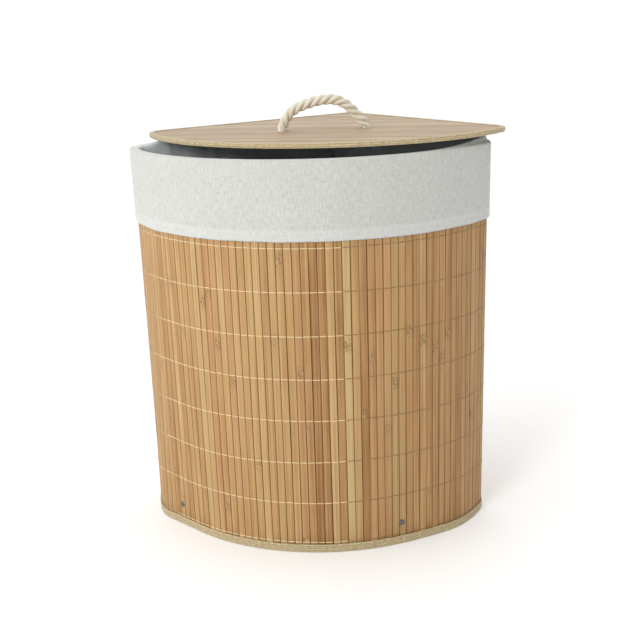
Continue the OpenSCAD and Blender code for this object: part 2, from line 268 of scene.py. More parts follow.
# %% Wobbles that close on themselves
def wobble(s, z, low, high, count, seed, lean=0.0):
    """Sum of `count` waves with low to high whole turns round the plan line, each also leaning
    and swelling slowly with height z; the result stays within about -1 to 1."""
    rng = np.random.default_rng(seed)
    total = np.zeros(np.broadcast(s, z).shape)
    for _ in range(count):
        turns = rng.integers(low, high + 1)
        phase, phase_z = rng.uniform(0, 2 * math.pi), rng.uniform(0, 2 * math.pi)
        slope, swell = rng.normal(0, lean), rng.uniform(4, 14)
        wave = np.sin(turns * s * math.pi / HALF + phase + slope * z)
        total += wave * (0.7 + 0.3 * np.sin(swell * z + phase_z))
    return total / math.sqrt(count) * 0.8

# %% [markdown]
# ## Finishes
# A finish is a small net of shader nodes. Written out node by node it is unreadable, so one
# class wraps a node's output and lets numbers, outputs and operators be combined as in a
# formula. Each operator adds one Math node.

# %% Shader sums as Python sums
class Value:
    """A node's output; + - * and / on it add Math nodes."""

    def __init__(self, finish, socket):
        self.finish, self.socket = finish, socket

    def math(self, operation, *others):
        """A Math node on this value and others."""
        return self.finish.math(operation, self, *others)

    def __rsub__(self, other):
        return self.finish.math("SUBTRACT", other, self)

    def step(self, low, high):
        """0 below low, 1 above high, smooth between."""
        smooth = {"interpolation_type": "SMOOTHSTEP"}
        return self.finish.node("ShaderNodeMapRange", smooth, {0: self, 1: low, 2: high})


for method, operation in (
        ("__add__", "ADD"), ("__radd__", "ADD"), ("__sub__", "SUBTRACT"), ("__mul__", "MULTIPLY"),
        ("__rmul__", "MULTIPLY"), ("__truediv__", "DIVIDE"), ("floor", "FLOOR"),
        ("fraction", "FRACT"), ("sine", "SINE"), ("size", "ABSOLUTE")):
    setattr(Value, method, lambda self, *others, kind=operation: self.math(kind, *others))

# %% A finish and its nodes
class Finish:
    """A material with one Principled shader, whose sockets are fed by formulas."""

    def __init__(self, name, **fixed):
        self.material = bpy.data.materials.new(name)
        self.material.use_nodes = True
        self.tree = self.material.node_tree
        self.tree.nodes.clear()
        self.shader = self.tree.nodes.new("ShaderNodeBsdfPrincipled")
        output = self.tree.nodes.new("ShaderNodeOutputMaterial")
        self.tree.links.new(self.shader.outputs[0], output.inputs[0])
        for key, value in fixed.items():
            self.shader.inputs[key.replace("_", " ")].default_value = value

    def feed(self, socket, value):
        if isinstance(value, Value):
            self.tree.links.new(value.socket, socket)
        elif isinstance(value, (tuple, list)) and len(value) == 3 and socket.type == "RGBA":
            socket.default_value = (*value, 1.0)
        else:
            socket.default_value = value

    def node(self, kind, settings=None, inputs=None, output=0):
        """Adds a node: its settings first, then the values or links of its inputs."""
        node = self.tree.nodes.new(kind)
        for key, value in (settings or {}).items():
            if key == "stops":
                ramp = node.color_ramp
                while len(ramp.elements) < len(value):
                    ramp.elements.new(0.5)
                for element, (place, colour) in zip(ramp.elements, value):
                    element.position, element.color = place, (*colour, 1.0)
            else:
                setattr(node, key, value)
        for key, value in (inputs or {}).items():
            self.feed(node.inputs[key], value)
        return Value(self, node.outputs[output])

    def math(self, operation, *values):
        return self.node("ShaderNodeMath", {"operation": operation}, dict(enumerate(values)))

    def place(self):
        """Where a point is on the object, in metres."""
        return self.node("ShaderNodeTexCoord", output="Object")

    def cut(self):
        """Where a point is on the flat cloth or strip, from the UV map, in metres."""
        return self.node("ShaderNodeUVMap", {"uv_map": "cut"})

    def value(self, name):
        """A number stored on the mesh's points."""
        return self.node("ShaderNodeAttribute", {"attribute_name": name}, output="Fac")

    def split(self, vector):
        node = self.tree.nodes.new("ShaderNodeSeparateXYZ")
        self.feed(node.inputs[0], vector)
        return [Value(self, node.outputs[i]) for i in range(3)]

    def vector(self, x=0.0, y=0.0, z=0.0):
        return self.node("ShaderNodeCombineXYZ", None, {0: x, 1: y, 2: z})

    def noise(self, vector, scale=1.0, detail=2.0, rough=0.5):
        return self.node("ShaderNodeTexNoise", None, {
            "Vector": vector, "Scale": scale, "Detail": detail, "Roughness": rough})

    def spots(self, vector, scale=1.0):
        return self.node("ShaderNodeTexVoronoi", None, {"Vector": vector, "Scale": scale})

    def random(self, number):
        return self.node("ShaderNodeTexWhiteNoise", {"noise_dimensions": "1D"}, {"W": number})

    def ramp(self, factor, *stops):
        return self.node("ShaderNodeValToRGB", {"stops": stops}, {0: factor})

    def mix(self, factor, first, second):
        return self.node("ShaderNodeMix", {"data_type": "RGBA"}, {0: factor, 6: first, 7: second}, 2)

    def wave(self, run):
        """A sine wave between 0 and 1, one for every 2 pi of run."""
        return run.sine() * 0.5 + 0.5

    def surface(self, colour, rough, height=None, distance=0.0, strength=1.0):
        """Feeds the shader its colour and roughness, and a bump where a height is given."""
        self.feed(self.shader.inputs["Base Color"], colour)
        self.feed(self.shader.inputs["Roughness"], rough)
        if height is not None:
            self.feed(self.shader.inputs["Normal"], self.node("ShaderNodeBump", None, {
                "Height": height, "Distance": distance, "Strength": strength}))
        return self

# %% Dressing a piece
def dress(piece, finish, slot, body, *nodes):
    """Gives a new piece its finish, the body it rides on and the nodes it stands for. The slot is not
    used.
    """
    piece.data.materials.clear()
    piece.data.materials.append(finish.material)
    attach(piece, body)
    if nodes:
        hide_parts(*nodes)
    print(piece.name, "has", len(piece.data.polygons), "faces")


def narrowed_copy(node, finish, slot, body):
    """A new piece with the CAD node's own shape, drawn in as the wall is. The node itself is
    left as it was."""
    piece = bpy.data.objects.new(node + "_narrowed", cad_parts[node].data.copy())
    bpy.context.scene.collection.objects.link(piece)
    move_points(piece, narrowed)
    dress(piece, finish, slot, body, node)


def repaint(node, finish):
    """Gives a CAD node a better finish."""
    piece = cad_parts[node]
    piece.data.materials.clear()
    piece.data.materials.append(finish.material)

# %% [markdown]
# ## Split bamboo
# Bamboo is split lengthways, so its fibres run along the slat as fine streaks, and each slat
# is a little paler or redder than the next. Here and there a slat shows the scar of a joint of
# the cane: a short speckled patch. The tone and the scars are numbers on the mesh; the fibres
# are noise drawn out along the slat's own length.

# %% Bamboo of the wall
def wall_bamboo():
    f = Finish("wall_bamboo", IOR=1.45)
    u, v, _ = f.split(f.cut())
    tone, scar, seed = f.value("tone"), f.value("scar"), f.value("seed")
    fibres = f.noise(f.vector(u * 1000 + seed * 31, v * 8, seed * 17), 1.0, 3.0, 0.6)
    bands = f.noise(f.vector(u * 330 + seed * 53, v * 4, seed * 7), 1.0, 1.5, 0.5)
    clouds = f.noise(f.vector(u * 60, v * 14, seed * 41), 1.0, 2.0, 0.5)
    shade = tone + (bands - 0.5) * 1.15 + (clouds - 0.5) * 0.45
    colour = f.ramp(shade, (0.0, (0.225, 0.100, 0.030)), (0.25, (0.322, 0.166, 0.056)),
                    (0.48, (0.400, 0.228, 0.085)), (0.68, (0.452, 0.274, 0.112)),
                    (0.86, (0.500, 0.332, 0.148)), (1.0, (0.505, 0.370, 0.176)))
    pink, green = f.random(seed * 977), f.random(seed * 571)
    colour = f.mix(pink.step(0.60, 1.0) * 0.34, colour, (0.455, 0.230, 0.110))
    colour = f.mix(green.step(0.60, 1.0) * 0.36, colour, (0.420, 0.300, 0.125))
    colour = f.mix(fibres.step(0.54, 0.76) * 0.50, colour, (0.245, 0.118, 0.034))
    colour = f.mix((1 - fibres).step(0.58, 0.78) * 0.45, colour, (0.585, 0.430, 0.235))
    rings = f.spots(f.vector(u * 520 + seed * 13, v * 270, seed * 11), 1.0)
    curl = (rings - 0.42).size()
    specks = f.noise(f.vector(u * 900, v * 480, seed * 11), 1.0, 3.0, 0.7)
    colour = f.mix(scar * (0.16 - curl).step(0.0, 0.10) * 0.90, colour, (0.165, 0.078, 0.020))
    colour = f.mix(scar * specks.step(0.50, 0.60) * 0.70, colour, (0.190, 0.098, 0.028))
    colour = f.mix(scar * (1 - specks).step(0.53, 0.64) * 0.80, colour, (0.660, 0.480, 0.250))
    # Painted shade: each slat is darkened along both edges, where it turns into the gap beside it.
    edge_shade = u.size().step(SLAT_W * 0.44, SLAT_W * 0.51)
    colour = f.mix(edge_shade * 0.50, colour, (0.235, 0.105, 0.022))
    height = fibres * 0.35 + bands * 0.4 + specks * scar * 0.8
    return f.surface(colour, 0.52 + fibres * 0.16 - tone * 0.05, height, 0.00035, 0.6)


wall_finish = wall_bamboo()

# %% [markdown]
# ## The slat wall
# Some 125 slats stand side by side on a cloth backing. A slat is a small profile carried
# straight up: flat at the back, its outer face slightly crowned with rounded edges. All of
# them are worked out at once, as one array of slats by rows by profile points.

# %% Slats
rng = np.random.default_rng(7)
pitch = SLAT_W + SLAT_GAP
wall_end = edges[3] - SLAT_W / 2 - 0.0001
slat_s = CREASE + (np.arange(-90, 90) + 0.5) * pitch
slat_s = slat_s[np.abs(slat_s) < wall_end]
SLATS = len(slat_s)
tones_and_shade = np.clip(rng.normal(0.53, 0.10, SLATS), 0.15, 0.90)
# Painted shade: the slats on the right are made darker, as the light falls from the left.
tones_and_shade -= 0.10 * np.clip((slat_s - 0.05) / 0.15, 0, 1)  # the right of the wall is a little darker
tones_and_shade[np.abs(slat_s - CREASE) < pitch] = (0.20, 0.30)  # the two dark slats at the crease
tones_and_shade[np.argmin(np.abs(slat_s - (CREASE + 3.1 * pitch)))] = 0.88  # one pale slat beyond it
lean = rng.normal(0, 0.00022, SLATS)
proud = rng.uniform(0.0, 0.00022, SLATS)

half_w, edge_r = SLAT_W / 2 + 0.00022, 0.00028
right_side = np.array([
    (half_w - 0.0002, 0), (half_w, 0.0002), (half_w, SLAT_T - edge_r),
    (half_w - 0.00013, SLAT_T - 0.00016), (half_w - edge_r, SLAT_T - 0.00002),
    (half_w * 0.5, SLAT_T + 0.00006), (0, SLAT_T + 0.00009)])
left_side = right_side[-2::-1] * (-1, 1)
profile = np.concatenate([left_side[-1:], right_side, left_side[:-1]])

# %% Slats stacked as one array
def slat_stack(chosen):
    """Points (slat, row, profile), and the UV and the tone, scar and seed that go with them.
    A row is at a height. A scar of the cane's joint is a low swelling, flat on top and steep
    at its ends: exp(-(distance / SCAR)^4)."""
    s, joints = slat_s[chosen][:, None, None], scar_z[chosen]
    close = (joints[:, :, None] + SCAR_ROWS).reshape(len(chosen), -1)
    even = np.broadcast_to(np.linspace(slat_low, slat_high, 18), (len(chosen), 18))
    close = np.clip(close, slat_low + 0.001, slat_high - 0.001)
    rows = np.sort(np.concatenate([even, close], axis=1), axis=1)[:, :, None]
    near = np.exp(-((rows[:, :, :, None] - joints[:, None, None, :]) / SCAR) ** 4)
    near = (near * scar_share[chosen][:, None, None, :]).max(-1)
    x, y, nx, ny = around(s, SLAT_IN)
    across = profile[:, 0] * (1 - 0.010 * (1 + np.sin(rows * 31 + s * 900)))
    across = across + lean[chosen][:, None, None] * np.sin(rows * 11 + s * 300)
    out = profile[:, 1] * (1 + proud[chosen][:, None, None] / SLAT_T)
    out = out + near * 0.00028 * (profile[:, 1] > SLAT_T * 0.7)
    px, py = x - across * ny + out * nx, y + across * nx + out * ny
    points = np.stack([px, py, np.broadcast_to(rows, px.shape)], -1)
    wrap = np.append(profile[:, 0], profile[0, 0])[None, None]
    uv = (wrap, rows + chosen[:, None, None] * 0.37)
    values = {name: np.broadcast_to(numbers, px.shape) for name, numbers in (
        ("tone", tones_and_shade[chosen][:, None, None]), ("scar", near), ("seed", seeds[chosen][:, None, None]))}
    return points, uv, values


SCAR, SCAR_ROWS = 0.0078, np.array([-0.0105, -0.0075, -0.0040, 0.0, 0.0040, 0.0075, 0.0105])
seeds = rng.uniform(0, 1, SLATS)
first_scar = rng.uniform(-0.05, 0.30, SLATS)
scar_z = np.stack([first_scar, first_scar + rng.uniform(0.22, 0.34, SLATS)], -1)
scar_share = rng.choice([0.08, 0.6, 1.0], (SLATS, 2), p=[0.42, 0.23, 0.35])
for name, chosen in (
        ("slats_front", np.flatnonzero(np.abs(slat_s) < lengths[0])),
        ("slats_left", np.flatnonzero(slat_s <= -lengths[0])),
        ("slats_right", np.flatnonzero(slat_s >= lengths[0]))):
    points, uv, values = slat_stack(chosen)
    slats = grid_piece("bamboo_" + name, points, closed_m=True, uv=uv, values=values, caps=True)
    faces_outward(slats)
    dress(slats, wall_finish, "wall_bamboo", "hamper", name)

# %% [markdown]
# ## Sewing thread
# Rows of cotton thread hold the slats to their backing. On each slat the thread lies across
# the outer face and it dips into the gap on either side, so a row reads as a line of dashes.
# A tube is carried along that path, with a six-sided section.

# %% Cotton thread
def cotton(name, colour, dark, sunk_shade=None):
    """Twisted cotton. Where the thread sinks between slats its colour goes over to the last colour given,
    a painted shade.
    """
    f = Finish(name, IOR=1.45, Sheen_Weight=0.2, Sheen_Roughness=0.5)
    u, v, _ = f.split(f.cut())
    ply = f.wave(u * 5200 + v * 6.283)
    fuzz = f.noise(f.place(), 2600, 2.0, 0.6)
    base = f.mix(fuzz.step(0.35, 0.75) * 0.5, colour, dark)
    # Painted shade in the grooves between the plies.
    base = f.mix((1 - ply) * 0.35, base, dark)
    if sunk_shade is not None:
        # Painted shade: where the thread sinks, its colour goes over to the shade colour.
        base = f.mix(f.value("shown").step(0.0, 0.9), sunk_shade, base)
    return f.surface(base, 0.82 + fuzz * 0.12, ply + fuzz * 0.5, 0.0002, 0.8)


def tube(path, side_a, side_b, radius, sides):
    """Points of a tube: path + radius * (cos(turn) * side_a + sin(turn) * side_b)."""
    turn = np.linspace(0, 2 * math.pi, sides, endpoint=False)
    ring = np.cos(turn)[:, None] * side_a[:, None] + np.sin(turn)[:, None] * side_b[:, None]
    return path[:, None] + np.asarray(radius).reshape(-1, 1, 1) * ring

# %% Rows of thread
thread_finish = cotton("sewing_cotton", (0.80, 0.63, 0.38), (0.56, 0.40, 0.20), (0.27, 0.150, 0.052))
half_dash = np.array([(0.0020, 0.00250), (0.0041, 0.00232), (0.00452, 0.0017), (0.00476, 0.0006),
                      (0.00500, 0.0002)])
dash = np.concatenate([half_dash[::-1] * (-1, 1), half_dash])
# How far each point of a dash dips into the gap; there the thread is painted dark as shade.
sunk_shade = np.clip((0.0018 - dash[:, 1]) / 0.0012, 0, 1)
x, y, nx, ny = around(slat_s[:, None], SLAT_IN)
out_xy = np.stack(np.broadcast_arrays(nx, ny), -1).repeat(len(dash), 1).reshape(-1, 2)
# The thread shows from the left end up to the pale slat; beyond that it is sunk a little and painted dark
# as shade.
shown = np.exp(-((slat_s + 0.060) / 0.19) ** 4) * np.where(slat_s < CREASE + 2.6 * pitch, 1.0, 0.0)
rows_of_thread, bright = [], []
for row in range(ROWS):
    tension = np.clip(shown + rng.normal(0, 0.13, SLATS), 0, 1)[:, None]
    across, out = dash[:, 0], dash[:, 1] - 0.00032 * (1 - tension)
    path_xy = np.stack([x - ny * across + nx * out, y + nx * across + ny * out], -1).reshape(-1, 2)
    step_up = rng.normal(0, 0.00012, SLATS).repeat(len(dash))
    sway = 0.0005 * np.sin(np.arange(len(path_xy)) * 0.013 + row * 2.1)
    z = ROW_FIRST + row * ROW_STEP + sway + step_up
    path = np.column_stack([path_xy, z])
    outward = np.column_stack([out_xy, np.zeros(len(path))])
    upward = np.broadcast_to([0.0, 0.0, 1.0], outward.shape)
    rows_of_thread.append(tube(path, outward * 0.7, upward * 1.2, 0.00056, 6))
    bright.append((tension * (1 - sunk_shade)).reshape(-1, 1).repeat(6, 1))
rows_of_thread = np.array(rows_of_thread)
run = np.arange(rows_of_thread.shape[1])[:, None] * 0.0010
thread = grid_piece("sewing_thread_rows", rows_of_thread, closed_m=True, caps=True, flip=True,
                    uv=(run, np.linspace(0, 1, 7)[None, :]), values={"shown": np.array(bright)})
faces_outward(thread)
dress(thread, thread_finish, "cotton_thread", "hamper", "sewing_thread")

# %% [markdown]
# ## Cloth backing and black non-woven
# Behind the slats is a thin pressed cloth. It shows only as the dark line between two slats
# and on the inside when the liner is out. Pressed cloth has no weave: it is felted fibre
# with a grid of tiny embossed dots.

# %% Pressed cloth
def pressed_cloth(name, colour, pale):
    f = Finish(name, IOR=1.45)
    u, v, _ = f.split(f.cut())
    dots = ((u * 2500).sine() * (v * 2500).sine()).step(0.35, 0.8)
    fibre = f.noise(f.vector(u * 900, v * 900, 0), 1.0, 3.0, 0.7)
    base = f.mix(fibre.step(0.40, 0.72) * 0.6, colour, pale)
    base = f.mix(dots * 0.35, base, colour)
    return f.surface(base, 0.86 + fibre * 0.1, fibre * 0.5 - dots, 0.00025, 0.7)


backing_finish = pressed_cloth("backing_cloth", (0.175, 0.080, 0.020), (0.235, 0.120, 0.034))
black_finish = pressed_cloth("black_cloth", (0.012, 0.012, 0.013), (0.030, 0.030, 0.032))

# %% A section carried round the plan
def run_along(path):
    """Distance run along a line of points, at each point."""
    return np.concatenate([[0], np.cumsum(np.linalg.norm(np.diff(path, axis=0), axis=1))])


def swept(name, section, s, bulge=None, closed=True):
    """A section of (inset, height) points carried round the plan line. Its UV is metres run
    along the line and metres run along the section."""
    section = np.asarray(section, float)
    inset, z = section.T[:, None]
    if bulge is not None:
        change = bulge(s[:, None], z, inset)
        inset, z = inset + change[0], z + change[1]
    x, y, _, _ = around(s[:, None], inset)
    points = np.stack([x, y, np.broadcast_to(z, x.shape)], -1)
    v = run_along(np.concatenate([section, section[:int(closed)]]))
    u = np.append(s, s[0] + 2 * HALF)
    piece = grid_piece(name, points, closed_n=True, closed_m=closed, uv=(u[:, None], v[None, :]))
    if closed:
        faces_outward(piece)
    return piece

# %% Backing
fine_s = stations(0.005, 0.0016)
upright_line = np.column_stack([np.full(24, 0.00635), np.linspace(slat_low, slat_high, 24)])
backing = swept("wall_backing_cloth", upright_line, fine_s, closed=False,
                bulge=lambda s, z, inset: (0.00012 * wobble(s, z, 60, 140, 6, 3), 0))
thicken(backing, 0.0005)
dress(backing, backing_finish, "backing_cloth", "hamper", "wall_backing")

# %% [markdown]
# ## Binding tape
# The lower edge of the wall, the top edge, the lid's edge and the back corner are all bound
# with a pale khaki twill tape, folded over the edge and sewn. Twill shows as fine slanting
# ribs, and the tape has a thicker line along each selvedge.

# %% Twill tape
def twill_tape():
    f = Finish("binding_twill", IOR=1.45, Sheen_Weight=0.15, Sheen_Roughness=0.5)
    u, v, _ = f.split(f.cut())
    ribs, cords = f.wave(u * 3600 + v * 5200), f.wave(v * 2400)
    mottle = f.noise(f.vector(u * 220, v * 500, 0), 1.0, 3.0, 0.6)
    base = f.ramp(mottle, (0.30, (0.330, 0.258, 0.134)), (0.5, (0.545, 0.443, 0.264)),
                  (0.72, (0.745, 0.630, 0.410)))
    # Painted shade in the grooves between the twill ribs and between the cords.
    base = f.mix((1 - ribs) * 0.38, base, (0.290, 0.225, 0.115))
    base = f.mix((1 - cords).step(0.50, 1.0) * 0.72, base, (0.300, 0.235, 0.120))
    return f.surface(base, 0.80 + ribs * 0.12, ribs * 0.5 + cords * 0.8, 0.00035, 0.8)


tape_finish = twill_tape()

# %% Lower and upper tape
def folded_section(outer, inner, top, thick, belly):
    """Section of tape folded under an edge that stands on the floor: up the outer face, over
    its rim, down inside the fold and up the inner leg. It is closed into a U that is `thick`
    through, and its outer face swells by `belly` on each side of a sewn groove."""
    face = np.linspace(0, 1, 17)
    groove = 0.9 * belly * np.exp(-((face - 0.56) / 0.09) ** 2)
    swell = outer - belly * np.sin(face * math.pi) ** 0.7 + groove
    skin, inside = outer + thick, inner - thick
    return np.array([
        *np.column_stack([swell, 0.0012 + (top - 0.0016) * face]),
        (outer + 0.00018, top), (skin - 0.00012, top), (skin, top - 0.0003),
        (skin, thick + 0.0004), (skin + 0.0004, thick),
        (inside - 0.0004, thick), (inside, thick + 0.0004), (inside, top - 0.0003),
        (inside + 0.0002, top), (inner - 0.0002, top), (inner, top - 0.0003), (inner, 0.0012),
        (inner - 0.0003, 0.0004), (inner - 0.0010, 0), (outer + 0.0010, 0), (outer + 0.0003, 0.0004)])


def pucker(depth, across, rise, along, still_below=-1.0):
    """Small in-and-out and up-and-down of a sewn tape. across and along are the waves that
    wobble() sums: least and most turns, how many, and a seed."""
    return lambda s, z, inset: (depth * wobble(s, z, *across),
                                rise * wobble(s, 0 * z, *along) * (z > still_below))


lower = swept("lower_binding_tape", folded_section(0.0029, BIND_IN, 0.0110, 0.0006, 0.0005),
              stations(0.003, 0.0014),
              bulge=pucker(0.00016, (90, 230, 7, 21), 0.0003, (30, 80, 5, 22), still_below=0.005))
dress(lower, tape_finish, "binding_tape", "hamper", "bottom_binding")
top_low, top_high = (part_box("top_binding")[i].z for i in (0, 1))
upper_section = folded_section(0.0029, BIND_IN, top_high - top_low, 0.0006, 0.0003)
upper_section[:, 1] = top_high - upper_section[:, 1]
upper = swept("upper_binding_tape", upper_section, stations(0.004, 0.0018),
              bulge=pucker(0.00012, (90, 230, 7, 31), 0.00012 * 0.35, (40, 90, 5, 32)))
dress(upper, tape_finish, "binding_tape", "hamper", "top_binding")

# %% [markdown]
# ## Tape down the back corner
# The two ends of the slat mat meet at the back corner under one upright tape that is bent
# round the corner. It is a thin closed box: outer face, edges and inner face of one grid.

# %% Corner tape
half_tape = lengths[3] - 0.0003
tape_s = np.linspace(HALF - half_tape, HALF + half_tape, 26)
tape_z = np.linspace(*(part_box("corner_tape")[i].z for i in (0, 1)), 60)
skin = []
for inset in (0.0046, 0.0058):
    swell = 0.00018 * np.sin(tape_z[None, :] * 700 + tape_s[:, None] * 500)
    x, y, _, _ = around(tape_s[:, None], inset - swell * (inset < 0.005))
    skin.append(np.stack([x, y, np.broadcast_to(tape_z, x.shape)], -1))
loop = np.concatenate([skin[0], skin[1][::-1]], 0).transpose(1, 0, 2)
tape_u = np.concatenate([tape_s, tape_s[::-1] + 0.05, tape_s[:1]])
corner = grid_piece("corner_tape_strip", loop, closed_m=True, caps=True,
                    uv=(tape_z[:, None], tape_u[None, :]))
faces_outward(corner)
dress(corner, tape_finish, "binding_tape", "hamper", "corner_tape")

# %% [markdown]
# ## Sheets that fill the plan
# The cloth bottom, the liner's floor and the lid's lining are flat sheets with the hamper's
# own outline. The outline is shrunk towards the middle in rings, which gives an even grid
# with no pole, and the last small ring is closed with one face.

# %% A sheet the shape of the plan
def plan_sheet(name, inset, height, rings, s, ripple=None, to_place=None, flip=False):
    """Rings of the outline at `inset`, each scaled by t from 1 down to 0.02 about the middle
    of the plan; height is even apart from ripple(x, y, t)."""
    x, y, _, _ = around(s, inset)
    t = np.linspace(1, 0.02, rings)
    px, py = x[:, None] * t, y[:, None] * t
    pz = np.full(px.shape, height) + (ripple(px, py, t[None, :]) if ripple else 0)
    points = np.stack([px, py, pz], -1)
    n, m = px.shape
    quads, corners = join_grid(n, m, True, False, flip)
    middle = np.arange(n) if flip else np.arange(n)[::-1]
    faces = quads.tolist() + [(middle * m + m - 1).tolist()]
    uv = np.stack([points[a % n, b, :2] for a, b in corners], 1).reshape(-1, 2)
    uv = np.concatenate([uv, points[middle, m - 1, :2]])
    if to_place is not None:
        points = to_place(points)
    return new_mesh(name, points, faces, uv)


def outline_area(inset):
    """Area of the plan at an inset, by the shoelace rule."""
    x, y, _, _ = around(fine_s, inset)
    return float(abs(np.sum(x * np.roll(y, -1) - y * np.roll(x, -1))) / 2)


def dimple(amount, pitch_xy):
    """Shallow dents all over a sheet but for its edge."""
    def ripple(x, y, t):
        return amount * np.sin(x * pitch_xy + np.sin(y * 23)) * np.sin(y * pitch_xy * 0.8 + 1) * (t < 0.97)
    return ripple

# %% The cloth bottom
sheet_s = stations(0.006, 0.003)
bottom = plan_sheet("cloth_bottom", 0.0106, 0.0004, 24, sheet_s, dimple(0.00012, 60), flip=True)
thicken(bottom, 0.0006)
dress(bottom, black_finish, "backing_cloth", "hamper", "bottom_cloth")
outline_area(0.0106)

# %% [markdown]
# ## Steel and board
# The wire rings, the folding support and the washers are plain round metal, which their CAD
# solids already are. The top ring keeps its solid, and the others are copies of theirs, drawn
# in with the wall. Drawn steel shows faint lines and a slightly uneven sheen. The loose base
# board is wrapped in black pressed cloth.

# %% Metal and board finishes
def metal(name, colour, dull, rough, lines):
    f = Finish(name, Metallic=1.0)
    place = f.place()
    drawn = f.noise(place, lines, 3.0, 0.6)
    worn = f.noise(place, 90, 4.0, 0.6)
    base = f.mix(worn.step(0.42, 0.70) * 0.7, colour, dull)
    return f.surface(base, rough + drawn * 0.16 + worn * 0.1, drawn, 0.00008, 0.5)


def covered_board():
    f = Finish("covered_board", IOR=1.45)
    place = f.place()
    x, y, _ = f.split(place)
    dots = ((x * 2500).sine() * (y * 2500).sine()).step(0.35, 0.8)
    fibre = f.noise(place, 900, 3.0, 0.7)
    base = f.mix(fibre.step(0.42, 0.72) * 0.6, (0.014, 0.014, 0.015), (0.040, 0.040, 0.043))
    return f.surface(base, 0.85 + fibre * 0.1, fibre - dots, 0.00025, 0.6)


wire_finish = metal("drawn_steel", (0.56, 0.56, 0.57), (0.38, 0.37, 0.36), 0.30, 1400)
rivet_finish = metal("dull_rivet", (0.190, 0.180, 0.185), (0.110, 0.100, 0.100), 0.46, 900)
repaint("top_wire", wire_finish)
for node, finish, slot, body in (
        ("bottom_wire", wire_finish, "wire", "hamper"), ("support_frame", wire_finish, "wire", "hamper"),
        ("rivet_washers", rivet_finish, "rivet_metal", "hamper")):
    narrowed_copy(node, finish, slot, body)

# %% [markdown]
# ## Rivets
# Two rivets go through the front near its lower edge. A rivet is turned work: a profile of
# radius and depth spun about its axis, with a rolled rim round its low dome.

# %% Rivets spun from a profile
rivet_section = np.array([
    (0.0000, 0.00145), (0.0012, 0.00140), (0.0022, 0.00122), (0.0030, 0.00092), (0.0035, 0.00060),
    (0.0039, 0.00052), (0.0042, 0.00034), (0.0043, 0.00008), (0.0042, -0.00012), (0.0016, -0.00012),
    (0.0016, -0.00630), (0.0026, -0.00632), (0.0026, -0.00690), (0.0015, -0.00700), (0.0000, -0.00700)])
radius, depth = rivet_section[None, :, 0], rivet_section[None, :, 1]
spin = np.linspace(0, 2 * math.pi, 28, endpoint=False)[:, None]
side, rise = radius * np.cos(spin), radius * np.sin(spin)
heads = []
for turn in (-44.0, 31.0):
    x, y, nx, ny = (float(v) for v in around(math.radians(turn) * (FRONT_R - SLAT_IN), 0.0040))
    heads.append(np.stack([x + nx * depth - ny * side, y + ny * depth + nx * side, RIVET_Z + rise], -1))
rivets = grid_piece("rivet_pair", np.array(heads), closed_n=True)
faces_outward(rivets, weld=1e-6)
dress(rivets, rivet_finish, "rivet_metal", "hamper", "rivets")

# %% Base board
FOOT_CORNERS = []  # the pieces from here on lie inside the wall and keep the even taper alone
narrowed_copy("base_board", covered_board(), "board_cover", "base")

# %% [markdown]
# ## The liner
# The liner is one cloth: it hangs inside as a bag, goes over the rim, and its top is turned
# down outside as a cuff with a sewn hem. So it is one sheet: a section that starts at the
# turned-in edge of the hem, runs down round the hem's fold, up the outside, over the rim and
# down inside to the floor, carried round the plan. Folds are then added as wobbles: hardly
# any on the cuff, which is pulled smooth, more at the rim where the cloth bunches at the two
# ends and by the back corner, and long soft ones inside, where it hangs loose.

# %% Linen
def linen():
    f = Finish("liner_linen", IOR=1.45, Sheen_Weight=0.25, Sheen_Roughness=0.5)
    u, v, _ = f.split(f.cut())
    warp = f.wave(u * 7400 + f.noise(f.vector(u * 40, v * 6, 0)) * 9)
    weft = f.wave(v * 7400 + f.noise(f.vector(u * 6, v * 40, 3)) * 9)
    slub_up = f.noise(f.vector(u * 640, v * 120, 1), 1.0, 2.0, 0.55)
    slub_over = f.noise(f.vector(u * 100, v * 640, 5), 1.0, 2.0, 0.55)
    cloud = f.noise(f.vector(u * 14, v * 14, 9), 1.0, 2.0, 0.5)
    base = f.mix(cloud, (0.520, 0.524, 0.500), (0.565, 0.570, 0.545))
    base = f.mix(slub_up.step(0.50, 0.72) * 0.68, base, (0.410, 0.410, 0.378))
    base = f.mix(slub_over.step(0.50, 0.72) * 0.68, base, (0.410, 0.412, 0.382))
    base = f.mix((1 - slub_up).step(0.53, 0.75) * 0.75, base, (0.650, 0.656, 0.636))
    weave = warp * weft
    # Painted shade in the gaps of the weave.
    base = f.mix((1 - weave).step(0.7, 1.0) * 0.18, base, (0.370, 0.370, 0.340))
    # Painted highlight: the outer face of the hem is painted paler.
    hem = v.step(0.0130, 0.0150) * (1 - v.step(0.0250, 0.0285))
    base = f.mix(hem * 0.20, base, (0.70, 0.72, 0.71))
    # Painted light: just inside the rim the cloth is painted paler, as if lit through the gap under the
    # lid; it fades out further down.
    inside = v.step(0.1115, 0.1175) * (1 - v.step(0.165, 0.212))
    base = f.mix(inside * 0.90, base, (0.90, 0.96, 0.98))
    # Painted light: where the cloth bunches inside the rim it is painted whiter still.
    base = f.mix(inside * f.value("gathered") * 0.7, base, (0.95, 0.96, 0.95))
    height = weave * 0.7 + slub_up * 0.7 + slub_over * 0.5
    return f.surface(base, 0.86 + weave * 0.08, height, 0.00028, 0.7)


linen_finish = linen()

# %% Where the cloth bunches up
GATHER_H = 0.0094  # the most that bunched cloth stands up over the rim
side_start, right_bunch = edges[2], 0.45 * edges[1] + 0.55 * edges[2]
# Where each gather is, and how far it reaches to its left and right along the rim.
bunches = (
    (right_bunch, 0.070, 0.024), (-(side_start + 0.045), 0.024, 0.024),
    (side_start + end_u - 0.055, 0.046, 0.046), (-(side_start + end_u - 0.055), 0.046, 0.046))


